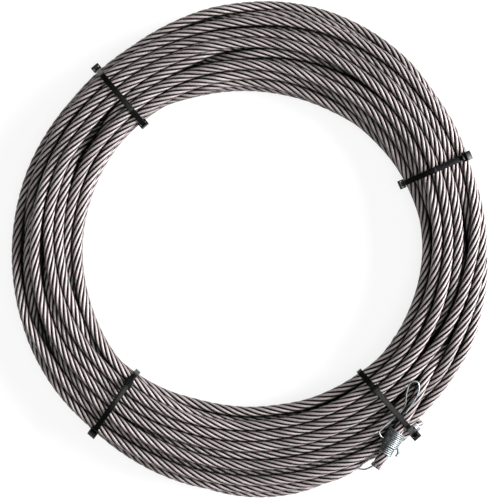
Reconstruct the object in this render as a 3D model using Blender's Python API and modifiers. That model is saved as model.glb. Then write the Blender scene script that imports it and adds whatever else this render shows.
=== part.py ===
"""A coil of 9 mm six-strand wire rope, laid flat.

One length of rope is wound into a ring of 27 turns. Four bindings hold it, each made of two cable
ties chained head to tip. Both rope ends are seized with soft wire so that the strands stay laid.
Units are metres, +Z is up, and the origin is on the floor under the middle of the coil.
"""
import math

import bmesh
import bpy
from mathutils import Matrix, Vector
from mathutils.geometry import interpolate_bezier

# The rope and how its turns lie in the ring's section, counted from the floor row upwards
rope_diameter = 0.009
turn_gap = 0.0002
turns_in_row = (6, 6, 6, 5, 4)
row_shift = (0.0, 0.5, 0.0, 0.0, -1.0)
ring_radius = 0.1742

# Room between pieces that touch on the real coil
clearance = 0.0003

# How the ring swells between its bindings: extra width, and the share of its height that is left
binding_angle = {"right": 23.4, "top_left": 130.2, "lower_left": 228.5, "lower_right": 311.2}
span_swell = {"right": 0.0205, "top_left": 0.0020, "lower_left": 0.0200, "lower_right": 0.0010}
span_height = {"right": 0.90, "top_left": 0.99, "lower_left": 0.90, "lower_right": 1.0}

# Beside the rope's two ends the ring's outer shoulder is a turn lower. Elsewhere it is fuller: by what
# share, from where across the section, and how far round from the lower right binding it rises.
shoulder_lift = 0.22
shoulder_start = 0.0015
shoulder_run = 0.0055
low_stretch = 22.0
rise_stretch = 24.0

# The cable ties
strap_width = 0.0048
strap_thickness = 0.0012
head_length = 0.0055
head_width = 0.0077
head_height = 0.0068
slot_margin = 0.0003
stub_length = 0.0022
mouth_run = 0.0012
root_depth = 0.0012
root_lift = 0.0005

# The side of the section that each head sits on, as the direction that the head faces, in degrees
# from straight outwards: above 0 is the upper side, and past 90 is the side towards the bore
outer_head_faces = {"right": 32.0, "top_left": -30.0, "lower_left": -30.0, "lower_right": -30.0}
inner_head_faces = {"right": 180.0, "top_left": 180.0, "lower_left": 90.0, "lower_right": 90.0}

# How far each of the inner heads has slid along the flat that it sits on, towards the floor or bore
inner_head_slide = {"right": 0.0, "top_left": 0.0040, "lower_left": 0.0072, "lower_right": 0.0032}

# The rope's two ends leave the ring beside the lower right binding and pass each other there.
# A route's points are degrees past that binding, then how far out from ring_radius and how far up
# from the floor, both counted in turns. A rope end's last point is its cut.
long_end_route = (
    (22.81, 2.047, 3.261),
    (14.78, 2.204, 3.641),
    (6.80, 2.392, 4.076),
    (3.74, 2.378, 4.239),
    (1.57, 2.433, 4.315),
    (-0.02, 2.541, 4.337),
    (-1.39, 2.728, 4.326),
    (-4.55, 3.228, 4.293),
    (-7.56, 3.784, 4.261),
    (-10.41, 4.399, 4.228),
)
short_end_route = (
    (-25.19, 3.455, 1.522),
    (-17.20, 3.565, 1.630),
    (-10.20, 3.625, 2.065),
    (-6.37, 3.710, 2.446),
    (-2.66, 3.745, 2.739),
    (0.02, 3.696, 2.848),
    (1.97, 3.720, 2.870),
    (3.90, 3.747, 2.870),
)

# The wire that seizes the ends
wire_diameter = 0.0013
long_seizing_windings = 18
short_seizing_windings = 4
long_seizing_from_end = 0.0112
short_seizing_from_end = 0.0042
seizing_spread = 0.0016

# The free lengths of the long seizing's wire, as routes like the rope's: the one that runs under
# the binding and ends in a loop, and the one that springs back to the ring's outer side
loop_wire_route = (
    (-5.29, 2.618, 4.478),
    (-6.05, 2.308, 4.696),
    (-6.01, 1.946, 4.783),
    (-5.28, 1.708, 4.793),
    (-2.40, 1.638, 4.696),
    (0.40, 1.661, 4.620),
    (2.45, 1.585, 4.620),
    (3.93, 1.417, 4.696),
    (5.80, 0.876, 4.826),
    (7.12, 0.597, 4.913),
    (8.66, 0.403, 4.978),
    (9.86, 0.489, 5.022),
    (10.52, 0.768, 5.022),
    (10.12, 1.116, 4.978),
    (8.93, 1.430, 4.913),
    (7.47, 1.621, 4.859),
    (5.27, 1.724, 4.815),
)
spring_wire_route = (
    (-6.36, 3.553, 3.630),
    (-7.92, 3.845, 3.565),
    (-9.94, 4.209, 3.500),
    (-11.29, 4.365, 3.457),
    (-13.10, 4.353, 3.370),
    (-13.96, 4.245, 3.315),
    (-15.00, 3.961, 3.261),
)

# How finely round shapes are cut into flats
ring_steps = 48
turn_arc_flats = 3
turn_arc_inset = 30.0
rope_resolution = 3
wire_resolution = 2
route_steps = 4
winding_flats = 3
seizing_steps = 12
hull_steps = 12
shortest_flat = 0.0004
merge_distance = 0.000002

rope_radius = rope_diameter / 2
wire_radius = wire_diameter / 2
turn_spacing = rope_diameter + turn_gap
row_spacing = turn_spacing * math.sqrt(3) / 2
strap_lift = strap_thickness + clearance


def clear_scene():
    for obj in list(bpy.data.objects):
        bpy.data.objects.remove(obj)


def new_collection(name):
    collection = bpy.data.collections.new(name)
    bpy.context.scene.collection.children.link(collection)
    return collection


def new_material(name, colour, metallic, roughness):
    material = bpy.data.materials.new(name)
    material.use_nodes = True
    shader = material.node_tree.nodes["Principled BSDF"]
    shader.inputs["Base Color"].default_value = (*colour, 1.0)
    shader.inputs["Metallic"].default_value = metallic
    shader.inputs["Roughness"].default_value = roughness
    return material


def polar(degrees, radius, height=0.0):
    angle = math.radians(degrees)
    return Vector((radius * math.cos(angle), radius * math.sin(angle), height))


def row_turns(row):
    """The turns of one row, as distances across the section, from the bore outwards."""
    count = turns_in_row[row]
    first = -(count - 1) / 2 + row_shift[row]
    return [(first + turn) * turn_spacing for turn in range(count)]


def outer_turns():
    """The turns that show on the ring's surface, in order: floor, outer side, top, bore side."""
    rows = [[Vector((x, rope_radius + row * row_spacing)) for x in row_turns(row)]
            for row in range(len(turns_in_row))]
    top = rows[-1]
    shoulder_outer = [turn for turn in rows[-2][:-1] if turn.x > top[-1].x + 0.25 * turn_spacing]
    shoulder_inner = [turn for turn in rows[-2][1:] if turn.x < top[0].x - 0.25 * turn_spacing]
    outer_side = [row[-1] for row in rows[1:-1]]
    bore_side = [row[0] for row in rows[-2:0:-1]]
    return rows[0] + outer_side + shoulder_outer[::-1] + top[::-1] + shoulder_inner[::-1] + bore_side


def section_outline():
    """The ring's scalloped section, anticlockwise with the bore on the left, centred across."""
    turns = outer_turns()
    inset = math.radians(turn_arc_inset)
    points = []
    for index, turn in enumerate(turns):
        before = turns[index - 1] - turn
        after = turns[(index + 1) % len(turns)] - turn
        start = math.atan2(before.y, before.x) + inset
        sweep = (math.atan2(after.y, after.x) - inset - start) % math.tau
        flat = sweep / turn_arc_flats
        reach = rope_radius / math.cos(flat / 2)
        points += [turn + reach * Vector((math.cos(start + k * flat), math.sin(start + k * flat)))
                   for k in range(turn_arc_flats + 1)]
    lowest = min(point.y for point in points)
    middle = (min(point.x for point in points) + max(point.x for point in points)) / 2
    return [Vector((point.x - middle, point.y - lowest)) for point in points]


outline = section_outline()
binding_width = 2 * max(point.x for point in outline)


def span_at(degrees):
    """The binding that an angle comes after, and how far it is into the swell, from 0 to 1."""
    names = list(binding_angle)
    for index, name in enumerate(names):
        length = (binding_angle[names[(index + 1) % len(names)]] - binding_angle[name]) % 360
        along = (degrees - binding_angle[name]) % 360
        if along < length:
            return name, math.sin(math.pi * along / length) ** 2
    return names[0], 0.0


def share(value, start, run):
    """How far a value is through a run, from 0 to 1."""
    return min(max((value - start) / run, 0.0), 1.0)


def shoulder_at(degrees, across):
    """How much higher the ring stands here than its plain section, for its fuller outer shoulder."""
    past = abs((degrees - binding_angle["lower_right"] + 180) % 360 - 180)
    rise = math.sin(math.pi / 2 * share(past, low_stretch, rise_stretch)) ** 2
    return 1 + shoulder_lift * rise * share(across, shoulder_start, shoulder_run)


def shape_point(degrees, across, up):
    """A point of the plain section, moved to where the ring's swell, sag and shoulder put it."""
    name, swell = span_at(degrees)
    width_scale = 1 + span_swell[name] * swell / binding_width
    height_scale = (1 + (span_height[name] - 1) * swell) * shoulder_at(degrees, across)
    return ring_radius + across * width_scale, strap_lift * (1 - swell) + up * height_scale


def evaluated_mesh(obj, name):
    """The object's shape as a new mesh, with its loose caps joined, in place of the object."""
    graph = bpy.context.evaluated_depsgraph_get()
    mesh = bpy.data.meshes.new_from_object(obj.evaluated_get(graph), depsgraph=graph)
    mesh.transform(obj.matrix_world)
    mesh.name = name
    bpy.data.objects.remove(obj)
    cleaned = bmesh.new()
    cleaned.from_mesh(mesh)
    bmesh.ops.remove_doubles(cleaned, verts=cleaned.verts, dist=merge_distance)
    cleaned.to_mesh(mesh)
    cleaned.free()
    return mesh


def add_object(name, mesh, collection, material):
    obj = bpy.data.objects.new(name, mesh)
    collection.objects.link(obj)
    mesh.materials.clear()
    mesh.materials.append(material)
    mesh.shade_smooth()
    mesh.set_sharp_from_angle(angle=math.radians(40))
    return obj


def as_guide(obj):
    obj.hide_render = True
    obj.display_type = "WIRE"
    return obj


def combine(obj, other, operation):
    modifier = obj.modifiers.new(operation.title() + " " + other.name, "BOOLEAN")
    modifier.object = other
    modifier.operation = operation


def turned(name, profile, steps, collection):
    """A solid turned about Z. The profile's points run down its outer side."""
    mesh = bpy.data.meshes.new(name)
    count = len(profile)
    mesh.from_pydata([(x, 0.0, z) for x, z in profile], [(k, (k + 1) % count) for k in range(count)], [])
    obj = bpy.data.objects.new(name, mesh)
    collection.objects.link(obj)
    screw = obj.modifiers.new("Turn", "SCREW")
    screw.steps = screw.render_steps = steps
    screw.use_merge_vertices = True
    screw.merge_threshold = merge_distance
    bpy.context.view_layer.update()
    return evaluated_mesh(obj, name)


def placed(route):
    """A route's points in the ring's own frame."""
    return [polar(binding_angle["lower_right"] + past, ring_radius + out * turn_spacing, up * turn_spacing)
            for past, out, up in route]


def smooth_route(route):
    """Points on a smooth curve through a route's own points, which it keeps."""
    points = placed(route)
    ends = [points[0].lerp(points[1], -1), *points, points[-1].lerp(points[-2], -1)]
    line = []
    for before, start, end, after in zip(ends, ends[1:], ends[2:], ends[3:]):
        leaving, reaching = start + (end - before) / 6, end - (after - start) / 6
        line += interpolate_bezier(start, leaving, reaching, end, route_steps + 1)[:-1]
    return [*line, points[-1]]


def tube(name, line, radius, resolution, collection):
    curve = bpy.data.curves.new(name, "CURVE")
    curve.dimensions = "3D"
    curve.bevel_depth = radius
    curve.bevel_resolution = resolution
    curve.use_fill_caps = True
    spline = curve.splines.new("POLY")
    spline.points.add(len(line) - 1)
    for point, place in zip(spline.points, line):
        point.co = (*place, 1.0)
    obj = bpy.data.objects.new(name, curve)
    collection.objects.link(obj)
    bpy.context.view_layer.update()
    return evaluated_mesh(obj, name)


def make_rope(collection, guides, material):
    """The ring of turns as one turned solid, shaped by its bindings, with the rope's two ends."""
    profile = [(ring_radius + point.x, point.y) for point in reversed(outline)]
    mesh = turned("wire_rope", profile, ring_steps, guides)
    for vertex in mesh.vertices:
        degrees = math.degrees(math.atan2(vertex.co.y, vertex.co.x)) % 360
        across = math.hypot(vertex.co.x, vertex.co.y) - ring_radius
        radius, height = shape_point(degrees, across, vertex.co.z)
        vertex.co = polar(degrees, radius, height)
    rope = add_object("wire_rope", mesh, collection, material)
    for name, route in (("long_end", long_end_route), ("short_end", short_end_route)):
        end_mesh = tube(name, smooth_route(route), rope_radius, rope_resolution, guides)
        end = as_guide(add_object(name, end_mesh, guides, material))
        combine(rope, end, "UNION")
    return rope


def convex_hull(points):
    """The corners of the points' hull, anticlockwise, without flats too short to matter."""
    ordered = sorted({(round(point.x, 7), round(point.y, 7)) for point in points})

    def half(run):
        chain = []
        for x, y in run:
            while len(chain) > 1:
                (ax, ay), (bx, by) = chain[-2:]
                if (bx - ax) * (y - ay) - (by - ay) * (x - ax) > 1e-10:
                    break
                chain.pop()
            chain.append((x, y))
        return chain[:-1]

    corners = []
    for corner in half(ordered) + half(reversed(ordered)):
        if not corners or (Vector(corner) - corners[-1]).length > shortest_flat:
            corners.append(Vector(corner))
    return corners


def edge_frame(hull, index):
    """The start, direction, outward side and length of one edge of a hull."""
    start, end = hull[index], hull[(index + 1) % len(hull)]
    length = (end - start).length
    along = (end - start) / length
    return start, along, Vector((along.y, -along.x)), length


def grown(hull, distance):
    """The hull with every edge moved outwards, corner for corner."""
    corners = []
    for index in range(len(hull)):
        _, along, side, _ = edge_frame(hull, index)
        _, _, side_before, _ = edge_frame(hull, index - 1)
        corners.append(hull[index] + (side + side_before) * distance / (1 + side.dot(side_before)))
    return corners


def ring_lines():
    """The ring's lengthwise edges, one closed line for each point of the section's outline."""
    steps = [360 * step / ring_steps for step in range(ring_steps + 1)]
    return [[polar(degrees, *shape_point(degrees, point.x, point.y)) for degrees in steps]
            for point in outline]


def crossings(line, degrees, offset):
    """Where a line goes through a binding's plane, moved along the rope: outwards and up."""
    outwards = polar(degrees, 1.0)
    along = Vector((-outwards.y, outwards.x, 0.0))
    places = []
    for before, after in zip(line, line[1:]):
        near, far = before.dot(along) - offset, after.dot(along) - offset
        if near * far <= 0 and near != far and before.dot(outwards) > 0:
            place = before.lerp(after, near / (near - far))
            places.append(Vector((place.dot(outwards), place.z)))
    return places


def ropes_at_binding(name):
    """Points round all that one binding holds: the ring, the rope's two ends and the wire."""
    degrees = binding_angle[name]
    strands = [(line, 0.0) for line in ring_lines()]
    strands += [(smooth_route(route), rope_radius) for route in (long_end_route, short_end_route)]
    strands.append((smooth_route(loop_wire_route), wire_radius))
    points = []
    for line, radius in strands:
        reach = radius / math.cos(math.pi / hull_steps)
        circle = [reach * Vector((math.cos(k * math.tau / hull_steps), math.sin(k * math.tau / hull_steps)))
                  for k in range(hull_steps if radius else 1)]
        for offset in (-head_width / 2, 0.0, head_width / 2):
            points += [centre + step for centre in crossings(line, degrees, offset) for step in circle]
    return points


class Seat:
    """Where a tie's head sits: on a hull's long edge that faces a given way, slid off its middle."""

    def __init__(self, hull, faces, slide=0.0):
        towards = Vector((math.cos(math.radians(faces)), math.sin(math.radians(faces))))
        long_edges = [k for k in range(len(hull)) if edge_frame(hull, k)[3] > head_length]
        self.edge = max(long_edges, key=lambda k: edge_frame(hull, k)[2].dot(towards))
        start, self.along, self.side, length = edge_frame(hull, self.edge)
        self.middle = start + self.along * (length / 2 + slide)

    def place(self, along, out):
        return self.middle + self.along * along + self.side * out


slot_out = clearance + head_height / 2
strap_out = clearance + strap_thickness / 2


def strap_line(hull, own, partner):
    """The middle of a strap: out of its own head, round the rope and through its partner's slot."""
    corners = grown(hull, strap_out)
    line = [own.place(head_length / 2 - root_depth, strap_out + root_lift)]
    index = (own.edge + 1) % len(hull)
    while True:
        line.append(corners[index])
        if index == partner.edge:
            break
        index = (index + 1) % len(hull)
    slot_mouth = partner.place(-head_length / 2 - mouth_run, slot_out)
    while len(line) > 2:
        last, lift = line[-1] - line[-2], slot_mouth - line[-1]
        if last.x * lift.y - last.y * lift.x > 0:
            break
        line.pop()
    return [*line, slot_mouth, partner.place(head_length / 2 + stub_length, slot_out)]


def band_outline(line, thickness):
    """The closed outline of a band of even thickness about a line."""
    directions = [(after - before).normalized() for before, after in zip(line, line[1:])]
    sides = [Vector((direction.y, -direction.x)) for direction in directions]
    left, right = [], []
    for index, point in enumerate(line):
        before = sides[max(index - 1, 0)]
        after = sides[min(index, len(sides) - 1)]
        offset = (before + after) * thickness / 2 / (1 + before.dot(after))
        left.append(point + offset)
        right.append(point - offset)
    return left + right[::-1]


def binding_frame(degrees):
    """Turns across, up and along-the-rope into the ring's own frame at a binding."""
    outwards = polar(degrees, 1.0)
    return Matrix((outwards, Vector((0, 0, 1)), outwards.cross(Vector((0, 0, 1))))).transposed().to_4x4()


def band(name, shape, width, frame, collection):
    """A flat outline, thick by half a width to each side, stood in a binding's plane."""
    curve = bpy.data.curves.new(name, "CURVE")
    curve.dimensions = "2D"
    curve.fill_mode = "BOTH"
    curve.extrude = width / 2
    spline = curve.splines.new("POLY")
    spline.points.add(len(shape) - 1)
    spline.use_cyclic_u = True
    for point, corner in zip(spline.points, shape):
        point.co = (corner.x, corner.y, 0.0, 1.0)
    obj = bpy.data.objects.new(name, curve)
    obj.matrix_world = frame
    collection.objects.link(obj)
    bpy.context.view_layer.update()
    return evaluated_mesh(obj, name)


def block(name, seat, out, size, frame, collection, material):
    """A box centred over a seat, out from it, sized along the strap, outwards and across it."""
    mesh = bpy.data.meshes.new(name)
    built = bmesh.new()
    bmesh.ops.create_cube(built, size=1.0, matrix=Matrix.Diagonal((*size, 1.0)))
    centre = seat.place(0.0, out)
    turn = Matrix(((seat.along.x, seat.side.x, 0, centre.x), (seat.along.y, seat.side.y, 0, centre.y),
                   (0, 0, -1, 0), (0, 0, 0, 1)))
    built.transform(frame @ turn)
    built.to_mesh(mesh)
    built.free()
    return as_guide(add_object(name, mesh, collection, material))


def make_tie(name, hull, own, partner, frame, collection, guides, material):
    shape = band_outline(strap_line(hull, own, partner), strap_thickness)
    tie = add_object(name, band(name, shape, strap_width, frame, guides), collection, material)
    head_size = (head_length, head_height, head_width)
    head = block(name + "_head", own, slot_out, head_size, frame, guides, material)
    slot_size = (2 * head_length, strap_thickness + 2 * slot_margin, strap_width + 2 * slot_margin)
    slot = block(name + "_slot", own, slot_out, slot_size, frame, guides, material)
    combine(tie, head, "UNION")
    combine(tie, slot, "DIFFERENCE")


def make_bindings(collection, guides, material):
    """Four pairs of ties. In a pair, each strap ends in the other tie's head."""
    for name, degrees in binding_angle.items():
        hull = convex_hull(ropes_at_binding(name))
        outer = Seat(hull, outer_head_faces[name])
        inner = Seat(hull, inner_head_faces[name], inner_head_slide[name])
        frame = binding_frame(degrees)
        make_tie(f"cable_tie_{name}_outer", hull, outer, inner, frame, collection, guides, material)
        make_tie(f"cable_tie_{name}_inner", hull, inner, outer, frame, collection, guides, material)


def winding_profile(windings, spread):
    """The section of a close winding round the rope, down its outer side and back up its bore."""
    bore = rope_radius / math.cos(math.pi / seizing_steps) + clearance
    half_flat = math.pi / winding_flats / 2
    points = []
    for winding in reversed(range(windings)):
        crest = bore + wire_radius + spread * (1 - math.cos(math.pi * winding / windings)) / 2
        middle = winding * wire_diameter + wire_radius
        for k in range(winding_flats):
            angle = math.pi / 2 - (2 * k + 1) * half_flat
            points.append((crest + wire_radius * math.cos(angle), middle + wire_radius * math.sin(angle)))
    return [*points, (bore, 0.0), (bore, windings * wire_diameter)]


def seizing(name, route, from_end, windings, spread, guides):
    """A close winding round a rope end, its first turn next to the cut."""
    *_, inner, tip = placed(route)
    mesh = turned(name, winding_profile(windings, spread), seizing_steps, guides)
    axis = (inner - tip).normalized()
    mesh.transform(Matrix.Translation(tip + axis * from_end) @ axis.to_track_quat("Z", "Y").to_matrix().to_4x4())
    return mesh


def make_seizings(collection, guides, material):
    long_mesh = seizing("seizing_wire_long", long_end_route, long_seizing_from_end,
                        long_seizing_windings, seizing_spread, guides)
    long_wire = add_object("seizing_wire_long", long_mesh, collection, material)
    for name, route in (("loop_wire", loop_wire_route), ("spring_wire", spring_wire_route)):
        wire_mesh = tube(name, smooth_route(route), wire_radius, wire_resolution, guides)
        combine(long_wire, as_guide(add_object(name, wire_mesh, guides, material)), "UNION")
    short_mesh = seizing("seizing_wire_short", short_end_route, short_seizing_from_end,
                         short_seizing_windings, 0.0, guides)
    add_object("seizing_wire_short", short_mesh, collection, material)


def main():
    clear_scene()
    collection = new_collection("wire_rope_coil")
    guides = new_collection("guides")
    rope_steel = new_material("greased steel wire rope", (0.33, 0.29, 0.29), 0.9, 0.42)
    nylon = new_material("black nylon", (0.012, 0.013, 0.015), 0.0, 0.38)
    zinc_wire = new_material("galvanised soft wire", (0.62, 0.64, 0.65), 1.0, 0.30)
    make_rope(collection, guides, rope_steel)
    make_bindings(collection, guides, nylon)
    make_seizings(collection, guides, zinc_wire)


main()
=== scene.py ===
# %% [markdown]
# # A coil of wire rope
# This lesson dresses the CAD model of a 30 m coil of 9 mm steel wire rope. The CAD has the coil as
# one turned ring. Here the ring becomes what it is on the real object: one long rope whose turns
# cross over each other, held by nylon ties, with both ends bound in soft wire.

# %% Load the frame
import math

import bmesh
import bpy
import numpy as np
from mathutils import Matrix, Vector


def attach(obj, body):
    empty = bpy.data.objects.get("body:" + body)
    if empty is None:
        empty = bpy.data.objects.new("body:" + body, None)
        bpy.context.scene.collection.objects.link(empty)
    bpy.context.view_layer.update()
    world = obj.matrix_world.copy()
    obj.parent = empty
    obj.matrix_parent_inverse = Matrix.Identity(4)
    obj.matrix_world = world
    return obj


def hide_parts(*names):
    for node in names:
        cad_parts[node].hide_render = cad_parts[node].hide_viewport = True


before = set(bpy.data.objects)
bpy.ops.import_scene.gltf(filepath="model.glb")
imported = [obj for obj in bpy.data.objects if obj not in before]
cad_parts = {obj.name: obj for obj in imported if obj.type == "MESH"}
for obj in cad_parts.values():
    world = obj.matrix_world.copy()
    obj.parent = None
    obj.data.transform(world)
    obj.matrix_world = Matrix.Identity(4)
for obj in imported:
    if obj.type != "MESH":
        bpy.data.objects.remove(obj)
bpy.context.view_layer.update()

# %% [markdown]
# ## The sizes that everything else follows
# Wire rope is sold by its diameter. Six strands are laid round a fibre core, and the length in which
# a strand goes once round is the lay, usually 6 to 7 diameters. A right-hand lay climbs like a
# normal screw thread.

# %% Rope and coil sizes
mm = 0.001
rope_diameter = 9 * mm
rope_radius = rope_diameter / 2
lay_length = 58.5 * mm
strands = 6
turn_count = 27
ring_radius = 174.2 * mm
strap_thickness = 1.2 * mm
strap_width = 4.8 * mm
clearance = 0.3 * mm
floor_lift = strap_thickness + clearance
camera_height = 1.14
photo_level = 40 * mm
binding_angle = {"right": 23.4, "top_left": 130.2, "lower_left": 228.5, "lower_right": 311.2}
print("Rope in all turns, m:", round(turn_count * math.tau * ring_radius, 1))

# %% [markdown]
# ## Where the turns lie
# A rope that is coiled by hand doesn't lie in neat layers. Each turn wanders over and under its
# neighbours, and that is what makes a coil look real. The lists below follow the turns that show in
# the photograph, counted along the rope from its upper end: at an angle round the coil, the
# distance from the middle and how far the turn has sunk below the top layer, all in millimetres.
# A few hidden stretches are listed too, deeply sunk, where they would else ride up over a shown one.
# The relaxing step fills in the rest.

# %% The turns that show from above, as angle, distance and depth
shown_turns = {
    0: [[(315, 192.8, -1), (317, 190.8, -1), (320, 187.9, -1), (325, 184.9, 2), (329, 183.2, 6),
         (333, 183, 9), (338, 183, 12)]],
    1: [[(144, 196.5, 8), (152, 197.8, 6), (165, 199.8, 5), (180, 200.8, 5), (190, 200.9, 4),
         (200, 198, 2), (207, 195.4, 0), (214, 193.5, 0), (222, 190.8, 1), (235, 190.3, 4),
         (250, 190.5, 4), (260, 191.1, 4), (270, 190.9, 4), (280, 190.6, 3), (290, 192.5, 1),
         (300, 194, 1), (308, 192, 5), (313, 191.4, 8), (320, 190.8, 9), (325, 190.6, 6), (330, 190.9, 1),
         (335, 191.9, 0), (340, 193.3, 0), (350, 196.3, 0), (359, 199.5, 1)]],
    2: [[(0, 199.5, 2), (10, 199, 3), (22, 199.1, 6), (30, 201.2, 5), (45, 207.2, 2), (60, 210.2, 4),
         (70, 211.4, 5), (80, 211, 5), (90, 208.8, 4), (100, 205.1, 2), (110, 201.4, 3), (120, 197.5, 4),
         (130, 195.7, 5), (136, 192.6, 8), (142, 190.6, 11), (150, 190, 13), (160, 191, 14),
         (180, 191.5, 14), (189, 196, 11), (196, 201.4, 4), (207, 201.6, 1), (214, 201.4, 0),
         (222, 200.1, 0), (228, 197.8, 0), (235, 196.5, 0), (250, 196.5, 0), (260, 197.1, 0),
         (270, 196.1, 0), (280, 198, 0), (290, 199.4, 0), (300, 201.8, 2), (308, 202, 6), (313, 199, 6),
         (320, 196.3, 2), (330, 197.1, 0), (335, 199.2, 0), (345, 201.1, 0), (350, 202.3, 2),
         (358, 202, 6)]],
    3: [[(62, 205.5, 7), (70, 206.2, 5), (80, 206.7, 4), (90, 203.1, 3), (100, 200.5, 4), (110, 198, 6),
         (116, 197, 8), (126, 196.5, 14), (140, 197, 17), (165, 197.5, 17), (200, 198, 16),
         (212, 200, 11), (222, 201, 7), (232, 200.4, 5), (240, 201.6, 4), (250, 203.3, 3),
         (260, 204.4, 2), (270, 202.9, 2), (280, 204.3, 1), (290, 205.7, 1), (300, 205.3, 4),
         (308, 205, 8)],
        [(316, 201.5, 6), (320, 200.5, 3), (325, 201.8, 2), (330, 202.5, 2), (345, 202.8, 3),
         (350, 203, 5), (355, 203, 9)]],
    4: [[(48, 199.5, 11), (57, 200.3, 11), (66, 200.6, 11), (75, 200.6, 11), (84, 199, 11)],
        [(257, 204.5, 9), (265, 207.4, 6), (275, 209.6, 4), (285, 209.8, 4), (292, 208, 6),
         (298, 206, 9)]],
    5: [[(320, 171, 17), (334, 173, 15), (340, 174.7, 9), (345, 175.3, 6), (352, 177.4, 2),
         (359, 178.8, 1)]],
    6: [[(0, 178.9, 1), (22, 181.5, 0), (45, 184.9, 0), (60, 186, 0), (75, 187.1, 0), (90, 185.8, 0),
         (110, 184.7, 0), (130, 183.1, 0), (150, 183.6, 0), (165, 185, 0), (180, 186.1, 0),
         (190, 184.3, 0), (200, 183.6, 0), (210, 181.3, 0), (220, 177.7, 0), (230, 174.8, 0),
         (240, 171.7, 0), (250, 169.4, 0), (260, 168.3, 0), (270, 167.4, 0), (290, 167.8, 0),
         (300, 170, 0), (310, 171.5, 0), (320, 175.3, 0), (330, 178, 0), (335, 181.3, 0), (340, 183.3, 0),
         (345, 184.7, 0), (350, 187.2, 0), (359, 191.5, 0)]],
    7: [[(0, 192.6, 0), (22, 198.6, 0), (45, 201.8, 0), (60, 202.1, 0), (75, 200.5, 0), (90, 195.7, 0),
         (110, 193.6, 0), (130, 191.7, 0), (150, 191.6, 0), (160, 191.2, 3), (168, 190.8, 9),
         (180, 190, 15), (192, 189, 15), (203, 187, 10), (210, 186, 6), (217, 185.5, 4), (225, 185, 1),
         (235, 183.7, 0), (260, 183.6, 0), (280, 184.3, 0), (290, 185.1, 1), (300, 185.1, 3),
         (306, 185, 7)]],
    8: [[(8, 186.8, 6), (22, 190.1, 1), (45, 193.1, 0), (55, 193.4, 1), (65, 193.3, 4), (75, 193.5, 8)],
        [(230, 178.5, 7), (240, 177.7, 4), (250, 176.5, 3), (270, 176.1, 3), (280, 176.5, 2),
         (290, 176.7, 1), (300, 178.9, 0), (308, 180.2, 2), (314, 181.5, 8)]],
    9: [[(58, 172, 8), (65, 171.4, 6), (75, 171.2, 3), (85, 170.1, 1), (95, 167.1, 2), (105, 165, 7)]],
    10: [[(88, 172.3, 8), (95, 171.8, 5), (100, 170.5, 3), (110, 168.6, 1), (120, 166.7, 1),
          (130, 165.2, 3), (138, 164.5, 6), (147, 164, 9)],
         [(183, 177.6, 9), (190, 177.2, 5), (200, 176.5, 2), (205, 175, 0), (210, 172.9, 0),
          (220, 169.3, 0), (230, 166.7, 0), (240, 163.7, 0), (250, 161.1, 0), (260, 160.1, 0),
          (270, 159.1, 0), (280, 158.5, 0), (290, 159.8, 0), (300, 161.7, 0), (310, 162.4, 0),
          (320, 165.1, 0), (330, 166.8, 0), (340, 167.4, 0), (350, 168.1, 0), (359, 169.3, 0)]],
    11: [[(0, 169.9, 0), (22, 172.6, 0), (45, 176.5, 0), (60, 177.7, 0), (75, 178.6, 0), (90, 177.5, 0),
          (110, 176.1, 0), (130, 174.5, 0), (145, 174.8, 0), (160, 174.4, 0), (170, 173.7, 0),
          (180, 172.6, 0), (190, 170.8, 0), (200, 167.8, 0), (210, 164.1, 0), (220, 160.5, 0),
          (230, 158, 0), (240, 155.5, 0), (250, 152.8, 0), (260, 151.5, 0), (280, 150.8, 0),
          (290, 152.3, 0), (300, 154.3, 0), (310, 155.1, 2), (320, 157.5, 1), (340, 158.5, 0),
          (359, 160.3, 0)]],
    12: [[(0, 161, 2), (22, 163.9, 3), (45, 167.1, 2), (65, 166, 1), (75, 165.8, 4), (88, 165, 9)],
         [(146, 172, 9), (155, 170, 5), (160, 167.7, 3), (170, 165.2, 1), (180, 163.4, 0),
          (190, 161.6, 0), (200, 159, 1), (210, 157.3, 4), (220, 156, 8)],
         [(300, 158, 14), (320, 158, 16), (340, 158, 17), (359, 157, 17)]],
    13: [[(0, 157, 17), (20, 157, 18), (45, 157.5, 18), (60, 157, 18), (90, 156, 17), (110, 152, 14),
          (120, 149, 11), (130, 147, 9), (150, 147.2, 8), (180, 147.2, 8), (200, 147.4, 8), (215, 148, 7),
          (225, 147.4, 6), (235, 144.2, 3), (250, 141.2, 1), (260, 138.4, 1), (270, 137.5, 1),
          (280, 138, 1), (290, 140, 1), (300, 141.7, 2), (310, 145.2, 6), (320, 147.2, 8),
          (340, 148.4, 8), (359, 150.7, 8)]],
    14: [[(0, 151.2, 8), (22, 149.8, 9), (45, 150.7, 9), (75, 150.8, 6), (90, 150.8, 4), (110, 150.4, 1),
          (180, 149.5, 1), (200, 149.8, 0), (210, 151.3, 0), (222, 151.4, 0), (235, 149, 1),
          (250, 146.5, 3), (265, 144.8, 5), (280, 145, 5), (290, 146.8, 5), (302, 148, 9)]],
    15: [[(13, 157.8, 9), (22, 156.7, 8), (45, 157.9, 5), (75, 158.1, 3), (90, 158.8, 1), (110, 159.6, 1),
          (150, 160.3, 1), (160, 158.8, 1), (170, 157.2, 2), (180, 156, 4), (198, 155, 9)],
         [(325, 150, 17), (359, 147.5, 16)]],
    16: [[(0, 147.5, 16), (15, 147, 16), (30, 147, 15), (45, 146.3, 13), (60, 142.8, 10), (75, 143.9, 6),
          (90, 145.2, 7), (102, 146, 10)]],
    17: [[(60, 139.8, 17), (75, 139.9, 15), (90, 140.1, 14), (100, 141.2, 15), (112, 143.3, 17)]],
}
print("Listed runs:", sum(len(runs) for runs in shown_turns.values()))

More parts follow.
